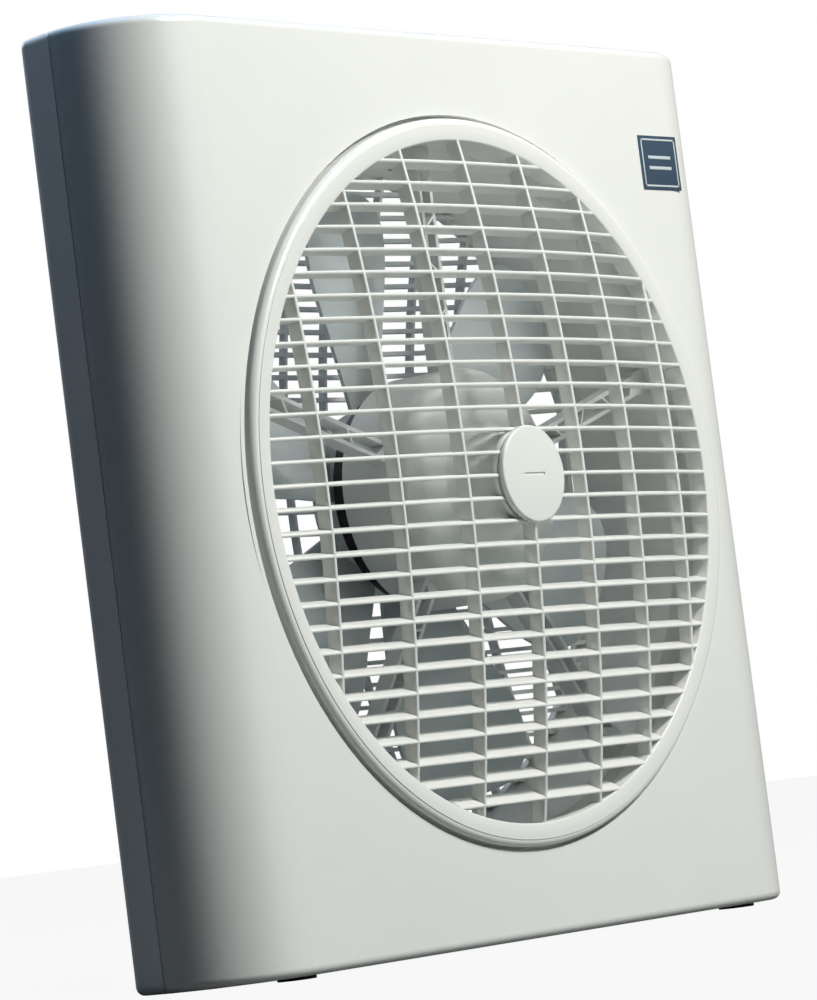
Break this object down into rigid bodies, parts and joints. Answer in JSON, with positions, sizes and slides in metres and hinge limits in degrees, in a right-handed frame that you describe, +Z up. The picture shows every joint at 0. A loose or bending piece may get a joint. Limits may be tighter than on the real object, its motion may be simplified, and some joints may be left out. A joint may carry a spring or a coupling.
{
  "type": "box fan",
  "caption": "Square box fan with a domed louvre grille that turns in front of a rear-mounted impeller, a ducted white case and recessed controls on top.",
  "frame": {"origin": "on the floor under the middle of the fan's bounding box", "axes": "+Z up, -Y to the front where the grille is, +X to the right seen from the front"},
  "size_m": [0.44, 0.1312, 0.44],
  "materials": {
    "case_white": "moulded, light satin",
    "grille_white": "moulded, satin",
    "carrier_grey": "moulded, fine grain",
    "impeller_grey": "moulded, slightly translucent",
    "badge_grey": "smooth",
    "knob_grey": "moulded, satin",
    "switch_black": "moulded",
    "motor_black": "black paint",
    "motor_steel": "bare steel",
    "screw_steel": "zinc plated",
    "winding_copper": "enamelled copper wire",
    "bush_brass": "turned bronze",
    "foot_rubber": "matt"
  },
  "bodies": {
    "case": {"front_cover": "case_white", "rear_cover": "case_white", "rear_grille": "case_white", "rear_grille_screws": "screw_steel", "case_screws": "screw_steel", "rubber_feet": "foot_rubber", "badge": "badge_grey", "grille_bush": "bush_brass", "grille_gearmotor": "motor_steel", "gearmotor_screws": "screw_steel", "motor_carrier": "carrier_grey", "carrier_screws": "screw_steel", "motor_rear_bell": "motor_black", "motor_front_bell": "motor_black", "stator_core": "motor_steel", "stator_windings": "winding_copper", "front_bearing": "motor_steel", "rear_bearing": "motor_steel", "motor_screws": "screw_steel", "control_tray": "case_white", "speed_switch": "switch_black", "timer": "switch_black", "rocker_switch": "switch_black", "run_capacitor": "switch_black", "terminal_block": "case_white", "cord_gland": "switch_black", "motor_lead": "switch_black"},
    "impeller_rotor": {"impeller": "impeller_grey", "impeller_nut": "impeller_grey", "motor_shaft": "screw_steel", "rotor": "motor_steel"},
    "turning_grille": {"front_grille": "grille_white", "grille_cap": "grille_white", "grille_spindle": "screw_steel", "grille_screw": "screw_steel"},
    "speed_control": {"speed_knob": "knob_grey", "speed_spindle": "knob_grey"},
    "timer_control": {"timer_knob": "knob_grey", "timer_spindle": "knob_grey"},
    "rocker": {"grille_rocker": "knob_grey"}
  },
  "joints": [
    {"name": "impeller_spin", "type": "hinge", "parent": "case", "child": "impeller_rotor", "pos_m": [0, 0.0166, 0.221], "axis": [0, 1, 0], "continuous": true},
    {"name": "grille_spin", "type": "hinge", "parent": "case", "child": "turning_grille", "pos_m": [0, -0.0454, 0.221], "axis": [0, 1, 0], "continuous": true},
    {"name": "speed_knob_turn", "type": "hinge", "parent": "case", "child": "speed_control", "pos_m": [0.102, -0.0134, 0.43], "axis": [0, 0, -1], "range_deg": [0, 135]},
    {"name": "timer_knob_turn", "type": "hinge", "parent": "case", "child": "timer_control", "pos_m": [0.138, -0.0134, 0.43], "axis": [0, 0, -1], "range_deg": [0, 300]},
    {"name": "grille_rocker_tip", "type": "hinge", "parent": "case", "child": "rocker", "pos_m": [0.172, -0.0134, 0.423], "axis": [1, 0, 0], "range_deg": [-14, 0]}
  ]
}
